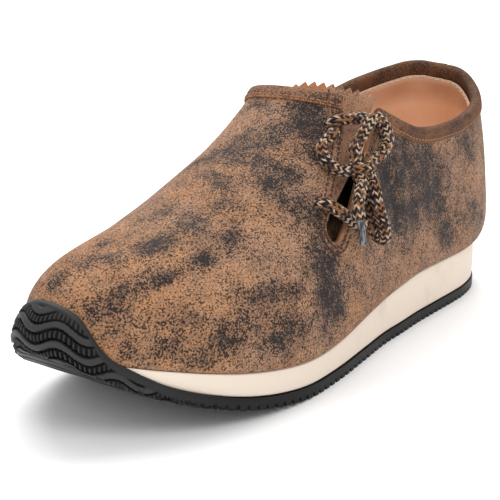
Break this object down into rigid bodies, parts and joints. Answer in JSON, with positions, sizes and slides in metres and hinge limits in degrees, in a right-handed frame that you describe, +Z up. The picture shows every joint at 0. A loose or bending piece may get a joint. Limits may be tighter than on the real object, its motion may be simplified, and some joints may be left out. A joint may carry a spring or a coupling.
{
  "type": "sneaker",
  "caption": "Left low leather sneaker with side lacing, bound collar, cream midsole and black ribbed rubber outsole that climbs over the toe.",
  "frame": {"origin": "middle of the shoe's outline at floor level, the lace's free runs left out", "axes": "+X towards the toe, +Y towards the outer side of this left shoe, +Z up"},
  "size_m": [0.2725, 0.0972, 0.1033],
  "materials": {
    "outsole": "black matte moulded rubber with ribs",
    "midsole": "smooth cream foam",
    "insole": "light tan leather",
    "upper": "distressed tan brown leather with dark smudges, light tan lining",
    "binding": "speckled brown leather strip",
    "tongue": "tan leather with a pinked top edge",
    "lace": "braided cord in dark plum, tan and cream",
    "aglet": "clear grey plastic sleeve"
  },
  "bodies": {
    "root": {"outsole": "outsole", "midsole": "midsole", "insole": "insole", "upper": "upper", "collar_binding": "binding", "tongue": "tongue", "lace_bar_top": "lace", "lace_bar_low": "lace", "lace_knot": "lace", "lace_loop_front": "lace", "lace_loop_rear": "lace", "lace_loop_long": "lace", "lace_strand": "lace", "lace_end": "lace", "lace_aglet": "aglet"}
  },
  "joints": []
}
